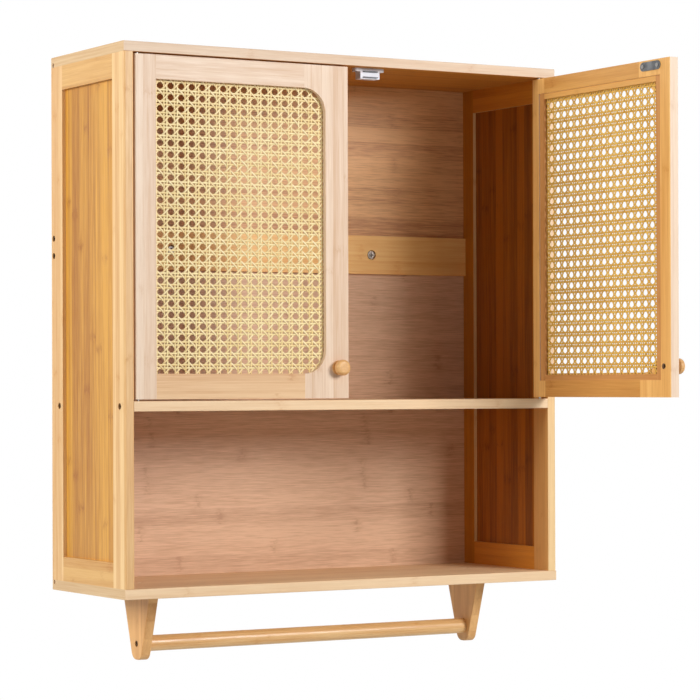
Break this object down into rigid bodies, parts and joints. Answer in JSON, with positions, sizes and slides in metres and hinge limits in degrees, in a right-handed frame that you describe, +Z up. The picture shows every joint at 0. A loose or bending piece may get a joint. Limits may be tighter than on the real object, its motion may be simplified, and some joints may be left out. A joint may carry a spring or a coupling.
{
  "type": "bathroom wall cabinet",
  "caption": "Bamboo wall cabinet with cane-panelled pivot doors over an open bay, and a towel bar held by tapered brackets below.",
  "frame": {"origin": "on the wall plane, midway between the two wall screws", "axes": "+X to the right as the cabinet is faced, +Y into the wall, +Z up"},
  "size_m": [0.6, 0.4995, 0.722],
  "materials": {
    "bamboo_board": "clear matt lacquer over strips of bamboo",
    "bamboo_side_frame": "clear matt lacquer over strips of bamboo",
    "bamboo_side_panel": "clear matt lacquer over upright strips of bamboo",
    "bamboo_back": "clear matt lacquer over strips of bamboo",
    "bamboo_door": "clear matt lacquer over strips of bamboo",
    "bamboo_bead": "clear matt lacquer over bamboo",
    "bamboo_bracket": "clear matt lacquer over strips of bamboo",
    "bamboo_turned": "clear matt lacquer over turned bamboo",
    "woven_cane": "natural woven cane, unlacquered",
    "dowel_wood": "plain, unfinished",
    "screw_steel": "zinc plated",
    "strike_steel": "zinc plated, dull",
    "pin_steel": "plain, drawn",
    "pole_steel": "plain, cut edge",
    "catch_plastic": "moulded, slightly satin",
    "catch_magnet": "ground, dark grey"
  },
  "bodies": {
    "cabinet": {"top_board": "bamboo_board", "bottom_board": "bamboo_board", "middle_shelf": "bamboo_board", "hanging_rail": "bamboo_back", "back_panel_upper": "bamboo_back", "back_panel_lower": "bamboo_back", "towel_bar": "bamboo_turned", "wall_screws": "screw_steel", "carcass_screws": "screw_steel", "bracket_screws": "screw_steel", "bracket_dowels": "dowel_wood", "catch_screws": "screw_steel", "left_side_front_stile": "bamboo_side_frame", "left_side_rear_stile": "bamboo_side_frame", "left_side_top_rail": "bamboo_side_frame", "left_side_bottom_rail": "bamboo_side_frame", "left_side_panel": "bamboo_side_panel", "left_leg": "bamboo_bracket", "left_catch_housing": "catch_plastic", "left_catch_magnet": "catch_magnet", "left_catch_upper_pole": "pole_steel", "left_catch_lower_pole": "pole_steel", "right_side_front_stile": "bamboo_side_frame", "right_side_rear_stile": "bamboo_side_frame", "right_side_top_rail": "bamboo_side_frame", "right_side_bottom_rail": "bamboo_side_frame", "right_side_panel": "bamboo_side_panel", "right_leg": "bamboo_bracket", "right_catch_housing": "catch_plastic", "right_catch_magnet": "catch_magnet", "right_catch_upper_pole": "pole_steel", "right_catch_lower_pole": "pole_steel"},
    "left_door": {"left_door_hinge_stile": "bamboo_door", "left_door_free_stile": "bamboo_door", "left_door_top_rail": "bamboo_door", "left_door_bottom_rail": "bamboo_door", "left_door_cane_panel": "woven_cane", "left_door_hinge_bead": "bamboo_bead", "left_door_free_bead": "bamboo_bead", "left_door_top_bead": "bamboo_bead", "left_door_bottom_bead": "bamboo_bead", "left_door_knob": "bamboo_turned", "left_door_knob_screw": "screw_steel", "left_door_strike_plate": "strike_steel", "left_door_strike_screws": "screw_steel", "left_door_pivot_pins": "pin_steel"},
    "right_door": {"right_door_hinge_stile": "bamboo_door", "right_door_free_stile": "bamboo_door", "right_door_top_rail": "bamboo_door", "right_door_bottom_rail": "bamboo_door", "right_door_cane_panel": "woven_cane", "right_door_hinge_bead": "bamboo_bead", "right_door_free_bead": "bamboo_bead", "right_door_top_bead": "bamboo_bead", "right_door_bottom_bead": "bamboo_bead", "right_door_knob": "bamboo_turned", "right_door_knob_screw": "screw_steel", "right_door_strike_plate": "strike_steel", "right_door_strike_screws": "screw_steel", "right_door_pivot_pins": "pin_steel"}
  },
  "joints": [
    {"name": "left_door_hinge", "type": "hinge", "parent": "cabinet", "child": "left_door", "pos_m": [-0.28, -0.194, 0.016], "axis": [0, 0, -1], "range_deg": [0, 105]},
    {"name": "right_door_hinge", "type": "hinge", "parent": "cabinet", "child": "right_door", "pos_m": [0.28, -0.194, 0.016], "axis": [0, 0, 1], "range_deg": [-90, 15]}
  ]
}
